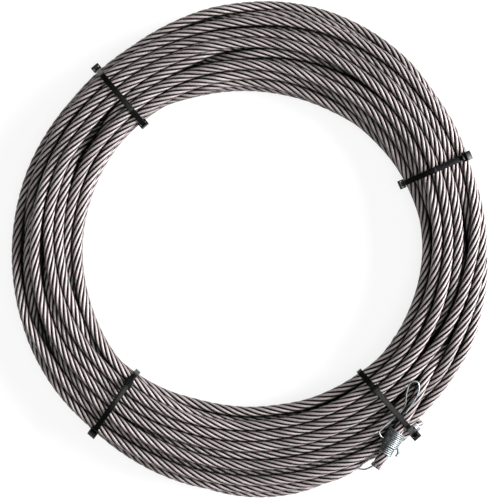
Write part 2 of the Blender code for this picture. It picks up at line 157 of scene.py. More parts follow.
# %% [markdown]
# ## Homes for the hidden stretches
# Under the top layer the turns fill the coil from the floor up. Each turn gets a home: how far
# across the coil it lies, from 0 at the bore to 1 at the outer side, and its row, counted from the
# floor. A turn leaves its home wherever the lists above say that it shows.

# %% Homes, and how wide the coil is
home = {0: (1.0, 4), 1: (1.0, 2), 2: (1.0, 3.4), 3: (0.95, 2.7), 4: (0.82, 2.4), 5: (0.75, 1.6),
        6: (0.6, 4), 7: (0.78, 3.2), 8: (0.72, 3.0), 9: (0.62, 2.6), 10: (0.5, 2.4), 11: (0.4, 4),
        12: (0.34, 3.0), 13: (0.22, 1.9), 14: (0.14, 3.1), 15: (0.26, 2.1), 16: (0.0, 2.0), 17: (0.08, 1.1),
        18: (0.25, 1.0), 19: (0.0, 0), 20: (0.2, 0), 21: (0.36, 1.1), 22: (0.52, 1.1), 23: (0.4, 0),
        24: (0.62, 0), 25: (0.73, 1.0), 26: (0.85, 0), 27: (1.0, 0)}
bore_side = [(0, 147.4), (10, 147.4), (20, 145.3), (30, 143.6), (40, 141.4), (50, 140.1), (60, 137.1),
             (70, 135), (80, 135), (90, 135.8), (100, 136.7), (110, 138.8), (120, 142.7), (140, 143.5),
             (160, 142.7), (200, 143.5), (220, 145.7), (240, 138.8), (250, 135), (260, 134.1), (280, 134.1),
             (290, 136.3), (300, 138), (310, 140.1), (320, 143.5), (340, 145.3), (350, 146.5), (360, 147.4)]
outer_side = [(0, 203.5), (10, 203.5), (20, 202.3), (30, 205.7), (40, 207.8), (50, 212.5), (60, 214.7),
              (70, 216), (80, 215.5), (90, 213), (100, 210.4), (110, 206.1), (120, 202.3), (140, 200.1),
              (160, 203.1), (180, 204.4), (210, 206.5), (220, 205.7), (230, 204.9), (240, 206.5),
              (250, 207.8), (260, 209.5), (270, 213.4), (280, 213.8), (290, 212.1), (300, 209), (310, 207),
              (320, 205.2), (340, 207.8), (350, 205.7), (360, 203.5)]
for name, degrees in binding_angle.items():
    width = np.interp(degrees, *zip(*outer_side)) - np.interp(degrees, *zip(*bore_side))
    print(name, "binding: width of the coil, mm:", round(float(width), 1))

# %% The two ends of the rope
# Degrees past the lower right binding, then turns out from the ring's radius and up from the floor
turn_spacing = 9.2 * mm
long_end_route = [(22.81, 2.047, 3.261), (14.78, 2.204, 3.641), (6.80, 2.392, 4.076), (3.74, 2.378, 4.239),
                  (1.57, 2.433, 4.315), (-0.02, 2.541, 4.337), (-1.39, 2.728, 4.326), (-4.55, 3.228, 4.293),
                  (-7.56, 3.784, 4.261), (-10.41, 4.399, 4.228)]
short_end_route = [(-25.19, 3.455, 1.522), (-17.20, 3.565, 1.630), (-10.20, 3.625, 2.065),
                   (-6.37, 3.710, 2.446), (-2.66, 3.745, 2.739), (0.02, 3.696, 2.848), (1.97, 3.720, 2.870),
                   (3.90, 3.747, 2.870)]


def end_at(route, degrees):
    """Distance out and height of a rope end at some angles, by its own route."""
    points = np.array(sorted(route))
    past = (np.asarray(degrees) - binding_angle["lower_right"] + 180) % 360 - 180
    out = ring_radius + np.interp(past, points[:, 0], points[:, 1]) * turn_spacing
    return out, np.interp(past, points[:, 0], points[:, 2]) * turn_spacing


for route in (long_end_route, short_end_route):
    out, up = end_at(route, binding_angle["lower_right"] + route[-1][0])
    print("A cut end, mm out and up:", round(float(out / mm)), round(float(up / mm)))

# %% [markdown]
# ## Relaxing the turns
# The coil is cut by 120 planes through its axis. In each plane the rope is a round disc for every
# turn. Step by step the discs are pulled towards where they show or towards home, drawn into line
# with the same turn in the planes before and after, because a steel rope resists sharp bends, and
# pushed apart wherever two overlap. What comes out is a coil that lies as a rope could.

# %% Planes, floor and shoulders
stations = 120
station_angle = np.arange(stations) * 360 / stations
# The rope starts at 300 degrees of its first turn and ends at 315 degrees of its last
first_node, last_node = 100, turn_count * stations + 105
top_row = 4
row_height = turn_spacing * math.sqrt(3) / 2
top_height = floor_lift + rope_radius + top_row * row_height
shoulder_drop = 7 * mm
span_drop = {"right": 0.10, "top_left": 0.02, "lower_left": 0.10, "lower_right": 0.0}
floor_gap = 0.4 * mm
# Full lift up to 3 degrees from a binding, none past 8
strap_reach, strap_fade = 5, 1.6


def squash_at(degrees):
    """The share of its height that the coil keeps at an angle, 1 at the bindings."""
    names = list(binding_angle)
    kept = np.ones_like(degrees)
    for name, after in zip(names, names[1:] + names[:1]):
        length = (binding_angle[after] - binding_angle[name]) % 360
        along = (degrees - binding_angle[name]) % 360
        swell = np.where(along < length, np.sin(np.pi * np.minimum(along / length, 1)) ** 2, 0)
        kept = kept - span_drop[name] * swell
    return kept


def floor_at(degrees):
    """How far the lowest turns stay off the floor: by a strap's thickness at the bindings."""
    away = [np.abs((degrees - angle + 180) % 360 - 180) for angle in binding_angle.values()]
    share = np.clip(strap_fade - np.min(away, axis=0) / strap_reach, 0, 1)
    return floor_gap + (floor_lift - floor_gap) * share


def shoulder_at(across, low, high):
    """How far the top layer has sunk towards the bore side and the outer side."""
    aside = np.abs(2 * (across - low) / (high - low) - 1)
    return shoulder_drop * np.minimum(aside, 1) ** 3


across_low = np.interp(station_angle, *zip(*bore_side)) * mm + rope_radius
across_high = np.interp(station_angle, *zip(*outer_side)) * mm - rope_radius
top = top_height * squash_at(station_angle)
print("Top layer's middle, lowest and highest, mm:", (top.min() / mm).round(1), (top.max() / mm).round(1))

# %% A goal for every turn in every plane
def turn_goals():
    """The goals, which of them are listed above, and which belong to the fixed ends."""
    goal = np.zeros((turn_count + 1, stations, 2))
    listed = np.zeros((turn_count + 1, stations), bool)
    for turn in range(turn_count + 1):
        across, row = home[turn]
        after = home[min(turn + 1, turn_count)]
        # A turn moves on to the next one's home over its last 60 degrees
        blend = np.clip((station_angle - 300) / 60, 0, 1)
        goal[turn, :, 0] = across_low + (across + (after[0] - across) * blend) * (across_high - across_low)
        goal[turn, :, 1] = (rope_radius + (row + (after[1] - row) * blend) * row_height) * top / top_height
        for run in shown_turns.get(turn, []):
            points = np.array(run, float)
            inside = (station_angle >= points[0, 0]) & (station_angle <= points[-1, 0])
            goal[turn, inside, 0] = np.interp(station_angle[inside], points[:, 0], points[:, 1]) * mm
            sunk = np.interp(station_angle[inside], points[:, 0], points[:, 2]) * mm
            sunk = sunk + shoulder_at(goal[turn, inside, 0], across_low[inside], across_high[inside])
            goal[turn, inside, 1] = top[inside] - sunk
            listed[turn] |= inside
    fixed = np.zeros_like(listed)
    for turn, route, low, high in ((0, long_end_route, 300, 314), (turn_count, short_end_route, 287, 315)):
        stretch = (station_angle >= low) & (station_angle <= high)
        goal[turn, stretch] = np.column_stack(end_at(route, station_angle[stretch]))
        fixed[turn, stretch] = True
    return goal, listed, fixed


goal, listed, fixed = turn_goals()
print("Share of planes where a turn is listed:", round(float(listed.mean()), 2))

# %% Relax the turns
home_pull, listed_pull = 0.02, 0.25
upward_share = 0.4
straightening, parting = 0.35, 0.8
partings_a_round = 3


def relax_turns(rounds=700):
    """The turns' distances out and heights, as an array of turn, station and these two."""
    pull = np.where(listed, listed_pull, home_pull)
    floor = floor_at(station_angle)
    place = goal.copy()
    index = np.arange((turn_count + 1) * stations)
    real = ((index >= first_node) & (index <= last_node)).reshape(turn_count + 1, stations)
    one, other = np.triu_indices(turn_count + 1, 1)
    both = real[one] & real[other]
    for step in range(rounds):
        # From 40% of the rounds on, the pull eases down to a tenth
        ease = min(1.0, 1.6 - 1.5 * step / rounds)
        view = (camera_height - place[..., 1]) / (camera_height - photo_level)
        aim = goal.copy()
        aim[..., 0] = np.where(listed, goal[..., 0] * view, goal[..., 0])
        place += (aim - place) * (pull * ease)[..., None] * np.array([1.0, upward_share])
        line = place.reshape(-1, 2)[first_node:last_node + 1]
        bent = line.copy()
        bent[1:-1] += straightening * ((line[:-2] + line[2:]) / 2 - line[1:-1])
        place.reshape(-1, 2)[first_node:last_node + 1] = bent
        for _ in range(partings_a_round):
            gap = place[other] - place[one]
            apart = np.maximum(np.linalg.norm(gap, axis=-1), 1e-6)
            push = np.where(both, np.maximum(rope_diameter - apart, 0), 0) / 2
            shift = gap / apart[..., None] * push[..., None] * parting
            np.add.at(place, one, -shift)
            np.add.at(place, other, shift)
            place[..., 1] = np.maximum(place[..., 1], rope_radius + floor)
            place[..., 0] = np.clip(place[..., 0], across_low * view, across_high * view)
            place[fixed] = goal[fixed]
    overlap = np.where(both, rope_diameter - np.linalg.norm(place[other] - place[one], axis=-1), 0)
    print("Deepest overlap left between turns, mm:", round(float(overlap.max()) * 1000, 2))
    print("Mean overlap of touching turns, mm:", round(float(overlap[overlap > 0].mean()) * 1000, 3))
    return place


turn_places = relax_turns()

# %% [markdown]
# ## How much sky each side of a turn sees
# Deep between turns the steel's colour is darkened as painted shade. So for 24 directions round each
# turn, the open sky is measured in its own plane: how many of 15 lines of sight above the floor meet
# no other turn. The steel's colour follows this.

# %% Measure the open sky
sides = 24
side_angle = np.arange(sides) * math.tau / sides
sights = np.radians(np.linspace(12, 168, 15))
touching = 0.05 * mm
shading_radius = 0.93 * rope_radius


def open_sky():
    """The share of sky seen from each side of each turn, as an array of turn, station and side."""
    out = np.stack([np.cos(side_angle), np.sin(side_angle)], axis=-1)
    eye = turn_places[:, :, None] + rope_radius * out
    sky = np.zeros(eye.shape[:3])
    for sight in sights:
        ray = np.array([math.cos(sight), math.sin(sight)])
        facing = np.clip(out @ ray, 0, 1)
        blocked = np.zeros(eye.shape[:3], bool)
        for turn in range(turn_count + 1):
            node = turn * stations + np.arange(stations)
            real = (node >= first_node) & (node <= last_node)
            to_turn = turn_places[turn][None, :, None] - eye
            forward = to_turn @ ray
            aside = np.abs(to_turn[..., 0] * ray[1] - to_turn[..., 1] * ray[0])
            hit = (forward > touching) & (aside < shading_radius) & real[None, :, None]
            hit[turn] = False
            blocked |= hit
        sky += facing * ~blocked
    return sky / len(sights)


sky = open_sky()
print("Open sky, most and mean:", round(float(sky.max()), 2), round(float(sky.mean()), 2))

# %% [markdown]
# ## One rope, six strands
# The middle line runs through every plane in turn. Round it go six strands. Each edge of the mesh
# follows its strand, so the grooves are real creases; their dark colour is painted shade.

# %% The rope's middle line
steps_between = 2


def catmull(values, steps):
    """Values on a smooth line through the given ones."""
    ends = np.vstack([2 * values[0] - values[1], values, 2 * values[-1] - values[-2]])
    t = (np.arange(steps) / steps)[None, :, None]
    before, start, end, after = (ends[k:len(values) - 1 + k][:, None] for k in range(4))
    smooth = 0.5 * (2 * start + (end - before) * t + (2 * before - 5 * start + 4 * end - after) * t ** 2
                    + (3 * start - before - 3 * end + after) * t ** 3)
    return np.vstack([smooth.reshape(-1, values.shape[1]), values[-1:]])


def rope_line():
    """Points down the middle of the whole rope, from the upper end to the lower one."""
    node = np.arange(first_node, last_node + 1)
    polar = np.column_stack([node * 360 / stations, turn_places.reshape(-1, 2)[node]])
    polar = catmull(polar, steps_between)
    angle = np.radians(polar[:, 0])
    return np.column_stack([polar[:, 1] * np.cos(angle), polar[:, 1] * np.sin(angle), polar[:, 2]])


line = rope_line()
along = np.concatenate([[0], np.cumsum(np.linalg.norm(np.diff(line, axis=0), axis=1))])
print("Rope length, m:", round(float(along[-1]), 2))

# %% The section of the laid rope
strand_radius = rope_radius / 3
strand_ring = rope_radius - strand_radius
valley = 2.45 * mm
strand_angles = [0, 12, 24, 36, 48]


def section_radii():
    """How far the surface is from the middle, once for each point of one strand."""
    swing = np.radians(strand_angles) - np.radians(180 / strands)
    under = np.maximum(strand_radius ** 2 - (strand_ring * np.sin(swing)) ** 2, 0)
    radii = strand_ring * np.cos(swing) + np.sqrt(under)
    radii[0] = valley
    return radii


ring_radii = np.tile(section_radii(), strands)
ring_points = len(ring_radii)
print("Points round the rope:", ring_points)

# %% The rope's surface, ring by ring
def rope_rings(start, stop):
    """The points of a length of rope, and how far round the rope each of them is."""
    tangent = np.gradient(line, axis=0)[start:stop]
    tangent /= np.linalg.norm(tangent, axis=1)[:, None]
    side = np.array([0, 0, 1.0]) - tangent * tangent[:, 2:]
    side /= np.linalg.norm(side, axis=1)[:, None]
    other = np.cross(tangent, side)
    turn = np.arange(ring_points) * math.tau / ring_points
    phase = turn[None] + (along[start:stop] / lay_length * math.tau)[:, None]
    out = np.cos(phase)[..., None] * side[:, None] + np.sin(phase)[..., None] * other[:, None]
    return line[start:stop][:, None] + ring_radii[None, :, None] * out, phase


def sky_along(start, stop, phase):
    """The open sky at each point of a length of rope, read from the planes round it."""
    node = first_node + np.arange(start, stop) / steps_between
    low = np.minimum(node.astype(int), last_node - 1)
    blend = (node - low)[:, None]
    rows = sky.reshape(-1, sides)
    around = (math.pi / 2 - phase) / math.tau % 1 * sides
    first = np.floor(around).astype(int) % sides
    mix = around - np.floor(around)

    def read(index):
        row = rows[index]
        return (np.take_along_axis(row, first, 1) * (1 - mix)
                + np.take_along_axis(row, (first + 1) % sides, 1) * mix)

    return read(low) * (1 - blend) + read(low + 1) * blend


def map_wires(mesh, quad_corners, start, stop, phase):
    """A UV map for the wires: how far round the rope across, and metres along it upwards."""
    corner = np.zeros(len(mesh.loops), np.int32)
    mesh.loops.foreach_get("vertex_index", corner)
    around = (phase / math.tau).reshape(-1)
    down = np.repeat(along[start:stop], ring_points)
    uv = np.column_stack([around[corner], down[corner]])
    place = np.arange(len(corner))
    last_column = (place < quad_corners) & (place // 4 % ring_points == ring_points - 1)
    uv[last_column & ((place % 4 == 1) | (place % 4 == 2)), 0] += 1
    mesh.uv_layers.new(name="wires").data.foreach_set("uv", uv.reshape(-1).astype(np.float32))


print("Rings along the rope:", len(line))

# %% A length of rope
def give_values(mesh, name, values):
    """A value for every point of a mesh, which a material reads by its name."""
    mesh.attributes.new(name, "FLOAT", "POINT").data.foreach_set("value", values)


def show(obj):
    """Print an object's name and how many triangles it has."""
    print(obj.name, "triangles:", sum(len(face.vertices) - 2 for face in obj.data.polygons))


def laid_rope(name, start, stop, material):
    """A length of the rope as a mesh, with its lay, its strand grooves and the values for its painted shade.
    """
    points, phase = rope_rings(start, stop)
    rings = len(points)
    ring = np.arange(rings - 1)[:, None] * ring_points
    step = np.arange(ring_points)
    after = (step + 1) % ring_points
    quads = np.stack(np.broadcast_arrays(ring + step, ring + after, ring + ring_points + after,
                                         ring + ring_points + step), axis=-1)
    faces = quads.reshape(-1, 4).tolist()
    faces.append(list(range(ring_points))[::-1])
    faces.append(list(range((rings - 1) * ring_points, rings * ring_points)))
    mesh = bpy.data.meshes.new(name)
    mesh.from_pydata(points.reshape(-1, 3).tolist(), [], faces)
    # The crown and sky values set the painted shade in the strand grooves and between turns.
    give_values(mesh, "crown", np.tile((ring_radii - valley) / (rope_radius - valley), rings))
    give_values(mesh, "sky", sky_along(start, stop, phase).reshape(-1).astype(np.float32))
    map_wires(mesh, quads.size, start, stop, phase)
    mesh.shade_smooth()
    for cap in mesh.polygons[-2:]:
        cap.use_smooth = False
    mesh.validate()
    mesh.materials.append(material)
    rope = bpy.data.objects.new(name, mesh)
    bpy.context.scene.collection.objects.link(rope)
    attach(rope, "root")
    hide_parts("wire_rope")
    return rope


# %% [markdown]
# ## Materials
# Uncoated steel rope looks grey with a faint warm cast. Its colour is lightest on the crown of each
# strand and nearly black in the grooves and deep between turns: painted shade.

# %% Material helpers
def linear(code):
    """An sRGB hex colour as the linear values that shaders use."""
    parts = [int(code[k:k + 2], 16) / 255 for k in (1, 3, 5)]
    return (*[part / 12.92 if part <= 0.04045 else ((part + 0.055) / 1.055) ** 2.4 for part in parts], 1.0)


def add_node(tree, kind, links=(), **settings):
    """A new node with its settings, its inputs' values and its links."""
    node = tree.nodes.new(kind)
    for key, value in settings.items():
        if hasattr(node, key):
            setattr(node, key, value)
        else:
            node.inputs[key.replace("_", " ")].default_value = value
    for source, target in links:
        tree.links.new(source, node.inputs[target])
    return node


def new_material(name, colour, metallic, roughness):
    material = bpy.data.materials.new(name)
    material.use_nodes = True
    shader = material.node_tree.nodes["Principled BSDF"]
    shader.inputs["Base Color"].default_value = linear(colour)
    shader.inputs["Metallic"].default_value = metallic
    shader.inputs["Roughness"].default_value = roughness
    return material, material.node_tree, shader


# %% Greased steel rope
# Cold drawn steel wire, laid up with grease: a soft metallic shine along the crowns, and painted shade in the
# grooves.
# The wires are 0.63 mm thick, which puts 45 ridges round the rope, and wear comes in 18 mm patches
wires_round = round(math.tau * rope_radius / (0.63 * mm))
wire_ridge = 0.12 * mm
patch_size = 18 * mm


def make_rope_steel():
    material, tree, shader = new_material("uncoated greased steel wire rope with painted groove shade", "#a59c9c", 0.68, 0.57)
    crown = add_node(tree, "ShaderNodeAttribute", attribute_name="crown")
    sky_shade_input = add_node(tree, "ShaderNodeAttribute", attribute_name="sky")
    # Painted shade: the colour falls to near black towards each strand's groove and is lightest on its crown.
    groove_shade_ramp = add_node(tree, "ShaderNodeValToRGB", [(crown.outputs["Fac"], "Fac")])
    groove_shade_ramp.color_ramp.elements[0].position = 0.64
    groove_shade_ramp.color_ramp.elements[0].color = linear("#020202")
    groove_shade_ramp.color_ramp.elements[1].position = 0.88
    groove_shade_ramp.color_ramp.elements[1].color = linear("#c2b7b7")
    # Painted shade: the less sky a point sees, the darker its colour.
    lit = add_node(tree, "ShaderNodeMapRange", [(sky_shade_input.outputs["Fac"], "Value")],
                   From_Min=0.13, From_Max=0.46, To_Min=0.02, To_Max=1.0)
    place = add_node(tree, "ShaderNodeTexCoord")
    patches = add_node(tree, "ShaderNodeTexNoise", [(place.outputs["Object"], "Vector")],
                       Scale=1 / patch_size, Detail=4.0)
    worn = add_node(tree, "ShaderNodeMapRange", [(patches.outputs["Fac"], "Value")],
                    From_Min=0.3, From_Max=0.7, To_Min=0.72, To_Max=1.08)
    # The painted shade times the random wear patches.
    depth = add_node(tree, "ShaderNodeMath", [(lit.outputs["Result"], 0), (worn.outputs["Result"], 1)],
                     operation="MULTIPLY")
    colour = add_node(tree, "ShaderNodeMix", data_type="RGBA", blend_type="MULTIPLY")
    colour.inputs["Factor"].default_value = 1.0
    tree.links.new(groove_shade_ramp.outputs["Color"], colour.inputs["A"])
    tree.links.new(depth.outputs["Value"], colour.inputs["B"])
    tree.links.new(colour.outputs["Result"], shader.inputs["Base Color"])
    wires = add_node(tree, "ShaderNodeUVMap", uv_map="wires")
    split = add_node(tree, "ShaderNodeSeparateXYZ", [(wires.outputs["UV"], "Vector")])
    count = add_node(tree, "ShaderNodeMath", [(split.outputs["X"], 0)], operation="MULTIPLY")
    count.inputs[1].default_value = wires_round * math.tau
    ridge = add_node(tree, "ShaderNodeMath", [(count.outputs["Value"], 0)], operation="SINE")
    bump = add_node(tree, "ShaderNodeBump", [(ridge.outputs["Value"], "Height")], Strength=0.35,
                    Distance=wire_ridge)
    tree.links.new(bump.outputs["Normal"], shader.inputs["Normal"])
    return material


rope_steel = make_rope_steel()
print("Material:", rope_steel.name, "with wires round:", wires_round)

# %% Lay up the rope
whole = len(line)
cuts = [0, whole // 3, 2 * whole // 3, whole - 1]
for k in range(3):
    show(laid_rope(f"rope_length_{k + 1}", cuts[k], cuts[k + 1] + 1, rope_steel))

# %% [markdown]
# ## Cut ends of the rope
# A wire rope is cut with a disc, so its end shows six strands round a core, not quite flush. Each is a
# short cylinder with its rim bevelled, turned out of the end face by a fraction of a millimetre.

# %% Helpers for editing
def leave_edit_mode():
    if bpy.context.object and bpy.context.object.mode == "EDIT":
        bpy.ops.object.mode_set(mode="OBJECT")


def pick(obj):
    """Make an object the active one and the only one selected."""
    bpy.ops.object.select_all(action="DESELECT")
    obj.select_set(True)
    bpy.context.view_layer.objects.active = obj


def edit(obj):
    """Go into edit mode on one object alone."""
    leave_edit_mode()
    pick(obj)
    bpy.ops.object.mode_set(mode="EDIT")


def settle(obj, frame_matrix=None):
    """Put an object's place into its mesh, so that the object itself lies at the origin."""
    leave_edit_mode()
    obj.data.transform((frame_matrix or Matrix()) @ obj.matrix_basis)
    obj.matrix_basis = Matrix()
    return obj


def join(parts, name):
    """Several mesh objects as one."""
    pick(parts[0])
    for part in parts:
        part.select_set(True)
    bpy.ops.object.join()
    parts[0].name = parts[0].data.name = name
    return parts[0]


# %% Strand ends
# Each end's tip and the point before it, its spin, and how far its strands and core stick out
rope_ends = {"rope_end_long": (0, 1, 0.4, (3, 5, 2, 6, 4, 1, 0)),
             "rope_end_short": (-1, -2, 0.1, (2, 4, 6, 3, 1, 5, 0))}
stub_depth = 3 * mm
stub_radius = strand_radius * 0.97


def strand_end(name, tip, axis, spin, stick_out):
    """The cut faces of six strands and the core at one end of the rope."""
    frame_matrix = Matrix.Translation(tip) @ Vector(axis).to_track_quat("Z", "X").to_matrix().to_4x4()
    parts = []
    for k in range(strands + 1):
        turn = spin + k * math.tau / strands
        middle = 0 if k == strands else rope_radius - strand_radius
        place = (middle * math.cos(turn), middle * math.sin(turn), stick_out[k] - stub_depth / 2)
        bpy.ops.mesh.primitive_cylinder_add(vertices=20, radius=stub_radius, depth=stub_depth, location=place)
        end = bpy.context.object
        edit(end)
        bpy.ops.mesh.select_all(action="SELECT")
        bpy.ops.mesh.bevel(offset=0.25 * mm, segments=2)
        parts.append(settle(end, frame_matrix))
    end = join(parts, name)
    # The cut ends get fixed crown and sky values, which give them an even painted shade.
    give_values(end.data, "crown", [0.86] * len(end.data.vertices))
    give_values(end.data, "sky", [0.3] * len(end.data.vertices))
    end.data.uv_layers[0].name = "wires"
    end.data.materials.append(rope_steel)
    bpy.ops.object.shade_smooth_by_angle(angle=math.radians(40))
    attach(end, "root")
    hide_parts("wire_rope")
    return end


for name, (tip, before, spin, tenths) in rope_ends.items():
    show(strand_end(name, line[tip], line[tip] - line[before], spin, [k * 0.1 * mm for k in tenths]))

# %% [markdown]
# ## The cable ties
# Four places are bound, each by two ties that are chained head to tail. A strap is pulled tight, so it
# follows the shape that a string stretched round the turns would take: their convex hull.

# %% Black nylon
# Injection moulded nylon 6.6, coloured with carbon black: satin, with a blue-grey sheen under a lamp
tie_grain = 0.9 * mm
grain_depth = 0.05 * mm


def make_tie_nylon():
    material, tree, shader = new_material("moulded black nylon 6.6", "#050607", 0.0, 0.3)
    shader.inputs["Specular IOR Level"].default_value = 0.22
    place = add_node(tree, "ShaderNodeTexCoord")
    grain = add_node(tree, "ShaderNodeTexNoise", [(place.outputs["Object"], "Vector")],
                     Scale=1 / tie_grain, Detail=3.0)
    satin = add_node(tree, "ShaderNodeMapRange", [(grain.outputs["Fac"], "Value")],
                     From_Min=0.3, From_Max=0.7, To_Min=0.22, To_Max=0.36)
    tree.links.new(satin.outputs["Result"], shader.inputs["Roughness"])
    tint = add_node(tree, "ShaderNodeValToRGB", [(grain.outputs["Fac"], "Fac")])
    tint.color_ramp.elements[0].color = linear("#040405")
    tint.color_ramp.elements[1].color = linear("#0b0c0e")
    tree.links.new(tint.outputs["Color"], shader.inputs["Base Color"])
    bump = add_node(tree, "ShaderNodeBump", [(grain.outputs["Fac"], "Height")], Strength=0.25,
                    Distance=grain_depth)
    tree.links.new(bump.outputs["Normal"], shader.inputs["Normal"])
    return material


tie_nylon = make_tie_nylon()
print("Material:", tie_nylon.name)

# %% Tie sizes, and where the heads sit
# A head sits where the hull faces a given way, or at a given distance from the coil's middle
head_length, head_width, head_height = 5.5 * mm, 7.7 * mm, 5.6 * mm
slot_margin = 0.3 * mm
stub_length = 2.2 * mm
wire_diameter = 1.5 * mm
winding_pitch = 1.85 * mm
outer_head_faces = {"right": 60, "top_left": 0, "lower_left": 45, "lower_right": 0}
inner_head_faces = {"right": 180, "top_left": 180}
inner_head_radius = {"lower_left": 155.1 * mm, "lower_right": 160.3 * mm}
# How far a tie moves along the rope for each metre farther out, and its shift
lean = {"right": (0, 0), "top_left": (0, 0), "lower_left": (-0.10, 0.2 * mm),
        "lower_right": (0.0, -2.1 * mm)}
half_coil_width = 30 * mm
rim_points = 36


def turns_at(degrees):
    """The middles of all turns in the plane at an angle."""
    station = degrees / 360 * stations
    low = int(station)
    middles = []
    for turn in range(turn_count + 1):
        node = turn * stations + low
        if first_node <= node and node + 1 <= last_node:
            pair = turn_places.reshape(-1, 2)[node:node + 2]
            middles.append(Vector(pair[0] + (pair[1] - pair[0]) * (station - low)))
    return middles


def convex_hull(points):
    """The corners of the points' hull, anticlockwise, without flats too short to matter."""
    ordered = sorted({(round(point.x, 7), round(point.y, 7)) for point in points})

    def half(run):
        chain = []
        for x, y in run:
            while len(chain) > 1:
                (ax, ay), (bx, by) = chain[-2:]
                if (bx - ax) * (y - ay) - (by - ay) * (x - ax) > 1e-10:
                    break
                chain.pop()
            chain.append((x, y))
        return chain[:-1]

    corners = []
    for corner in half(ordered) + half(reversed(ordered)):
        if not corners or (Vector(corner) - corners[-1]).length > 0.3 * mm:
            corners.append(Vector(corner))
    return corners


def hull_at(name):
    """The hull of everything that one binding holds, over the width of a head."""
    slope, shift = lean[name]
    half = math.degrees((head_width / 2 + abs(slope) * half_coil_width + abs(shift)) / ring_radius)
    rim = [k * math.tau / rim_points for k in range(rim_points)]
    points = []
    for degrees in (binding_angle[name] - half, binding_angle[name], binding_angle[name] + half):
        for middle in turns_at(degrees):
            points += [middle + rope_radius * Vector((math.cos(turn), math.sin(turn))) for turn in rim]
    return convex_hull(points)


print("Corners of each hull:", {name: len(hull_at(name)) for name in binding_angle})

# %% A strap's line, from its own head round to the partner's slot
def edge_frame(hull, index):
    """The start, direction, outward side and length of one edge of a hull."""
    start, end = hull[index], hull[(index + 1) % len(hull)]
    length = (end - start).length
    along_edge = (end - start) / length
    return start, along_edge, Vector((along_edge.y, -along_edge.x)), length


def grown(hull, distance):
    """The hull with every edge moved outwards, corner for corner."""
    corners = []
    for index in range(len(hull)):
        side = edge_frame(hull, index)[2]
        side_before = edge_frame(hull, index - 1)[2]
        corners.append(hull[index] + (side + side_before) * distance / (1 + side.dot(side_before)))
    return corners


# What each metre of distance takes off the fit of an edge that doesn't reach a head's radius
miss_cost = 20


class Seat:
    """Where a tie's head sits on a hull: the edge that faces a way, or the top at a radius."""

    def __init__(self, hull, faces=None, radius=None):
        edges = [edge_frame(hull, k) for k in range(len(hull))]
        if radius is None:
            towards = Vector((math.cos(math.radians(faces)), math.sin(math.radians(faces))))
            fits = [(side.dot(towards) + length, k) for k, (_, _, side, length) in enumerate(edges)]
        else:
            upper = [k for k, edge in enumerate(edges) if edge[2].y > 0.5]
            fits = [(edges[k][2].y - abs(edges[k][0].x - radius) * miss_cost, k) for k in upper]
            fits += [(1.0, k) for k in upper if hull[(k + 1) % len(hull)].x <= radius <= hull[k].x]
        self.edge = max(fits)[1]
        start, self.along, self.side, length = edge_frame(hull, self.edge)
        reach = length / 2 if radius is None else min(max((start.x - radius) / -self.along.x, 0), length)
        self.middle = start + self.along * reach

    def place(self, along_seat, out):
        return self.middle + self.along * along_seat + self.side * out


slot_out = clearance + head_height / 2
strap_out = clearance + strap_thickness / 2
lead_in = 1.2 * mm
print("Middles above the rope, slot and strap, mm:", round(slot_out / mm, 2), round(strap_out / mm, 2))


def strap_line(hull, own, partner):
    """The middle of a strap: out of its own head, round the rope and through its partner's slot."""
    corners = grown(hull, strap_out)
    first = own.place(head_length / 2 - lead_in, strap_out)
    route = [first, own.place(head_length / 2, strap_out)]
    index = (own.edge + 1) % len(hull)
    while True:
        if (corners[index] - own.middle).length > head_length / 2 + 0.5 * mm:
            route.append(corners[index])
        if index == partner.edge:
            break
        index = (index + 1) % len(hull)
    mouth = partner.place(-head_length / 2 - lead_in, slot_out)
    while len(route) > 3:
        last, lift = route[-1] - route[-2], mouth - route[-1]
        if last.x * lift.y - last.y * lift.x > 0:
            break
        route.pop()
    return [*route, mouth, partner.place(head_length / 2 + stub_length, slot_out)]


def band_outline(route, thickness):
    """The closed outline of a band of even thickness about a line."""
    directions = [(after - before).normalized() for before, after in zip(route, route[1:])]
    across = [Vector((direction.y, -direction.x)) for direction in directions]
    left, right = [], []
    for index, point in enumerate(route):
        before, after = across[max(index - 1, 0)], across[min(index, len(across) - 1)]
        offset = (before + after) * thickness / 2 / max(1 + before.dot(after), 0.6)
        left.append(point + offset)
        right.append(point - offset)
    return left + right[::-1]


# %% Model one tie
def curve_mesh(curve, points, frame_matrix=None):
    """A curve through the points, turned into a mesh."""
    spline = curve.splines.new("POLY")
    spline.points.add(len(points) - 1)
    spline.use_cyclic_u = curve.dimensions == "2D"
    for point, place in zip(spline.points, points):
        point.co = (*place, 1.0)
    obj = bpy.data.objects.new(curve.name, curve)
    bpy.context.scene.collection.objects.link(obj)
    pick(obj)
    bpy.ops.object.convert(target="MESH")
    return settle(bpy.context.object, frame_matrix)


def binding_frame(degrees):
    """Turns across, up and along-the-rope into the coil's own place at a binding."""
    outwards = Vector((math.cos(math.radians(degrees)), math.sin(math.radians(degrees)), 0))
    return Matrix((outwards, Vector((0, 0, 1)), outwards.cross(Vector((0, 0, 1))))).transposed().to_4x4()


def make_strap(name, route, frame_matrix):
    """A strap as a flat outline, thickened by its width with its long edges rounded."""
    rounding = 0.3 * mm
    curve = bpy.data.curves.new(name, "CURVE")
    curve.dimensions = "2D"
    curve.fill_mode = "BOTH"
    curve.extrude = strap_width / 2 - rounding
    curve.bevel_depth = rounding
    curve.bevel_resolution = 2
    curve.offset = -rounding
    outline = [(*corner, 0.0) for corner in band_outline(route, strap_thickness)]
    return curve_mesh(curve, outline, frame_matrix)


